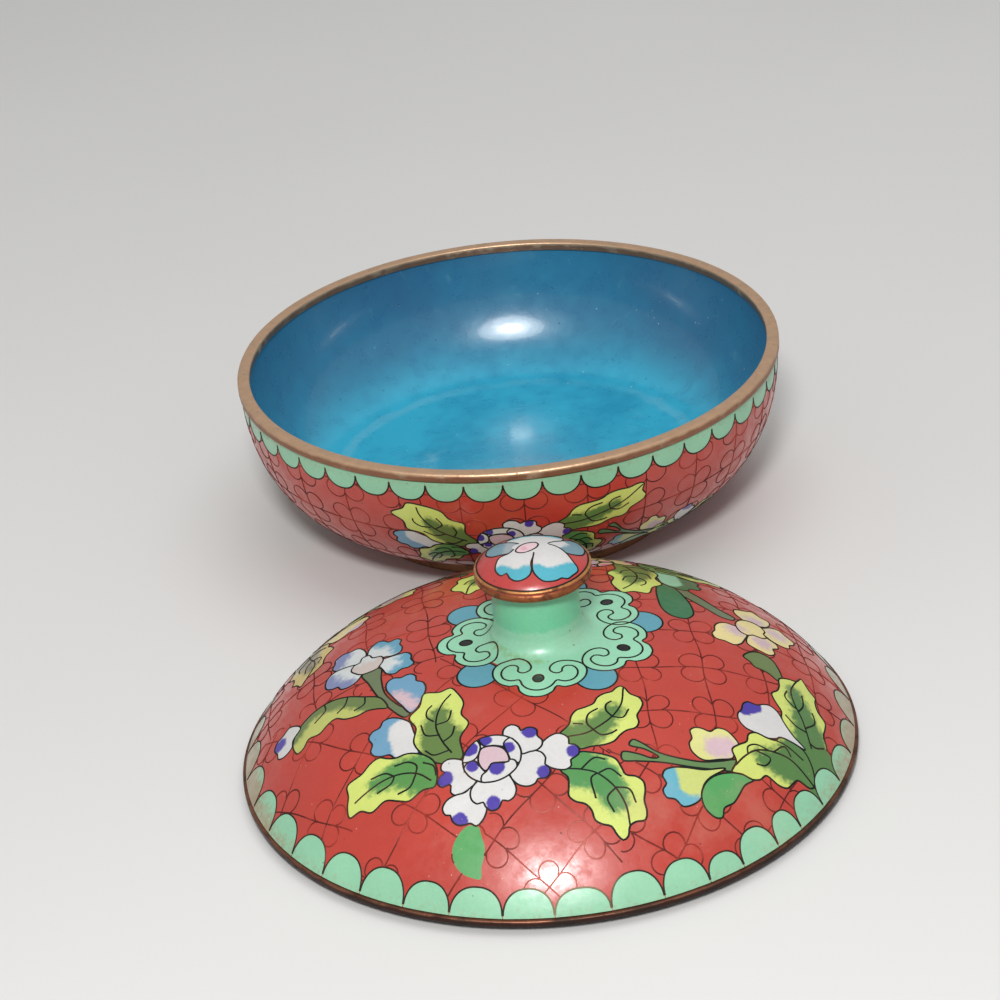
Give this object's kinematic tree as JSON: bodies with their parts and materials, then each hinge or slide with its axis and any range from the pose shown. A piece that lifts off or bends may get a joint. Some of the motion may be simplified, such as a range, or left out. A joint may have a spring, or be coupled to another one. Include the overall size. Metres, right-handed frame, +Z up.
{
  "type": "lidded bowl",
  "caption": "Shallow round enamelled copper bowl on a foot ring, with a domed lid that has a mushroom knob, lifted off and set down beside it.",
  "frame": {"origin": "on the surface that the bowl and its lid stand on, midway between the bowl's axis and the lid's", "axes": "+Z up; +Y from the lid's axis towards the bowl's, the longest way across the pair; +X to the right, seen from the lid's side"},
  "size_m": [0.15, 0.284, 0.0564],
  "materials": {
    "red_enamel_bowl": "gloss",
    "aged_brass_lip": "satin",
    "aged_brass_foot": "satin",
    "red_enamel_lid": "gloss",
    "dark_copper_edge": "satin",
    "white_and_red_enamel_cap": "gloss",
    "orange_copper_band": "polished"
  },
  "bodies": {
    "root": {"bowl_body": "red_enamel_bowl", "bowl_lip_ring": "aged_brass_lip", "bowl_foot_ring": "aged_brass_foot", "lid_dome": "red_enamel_lid", "lid_edge_ring": "dark_copper_edge", "knob_cap": "white_and_red_enamel_cap", "knob_cap_band": "orange_copper_band"}
  },
  "joints": []
}
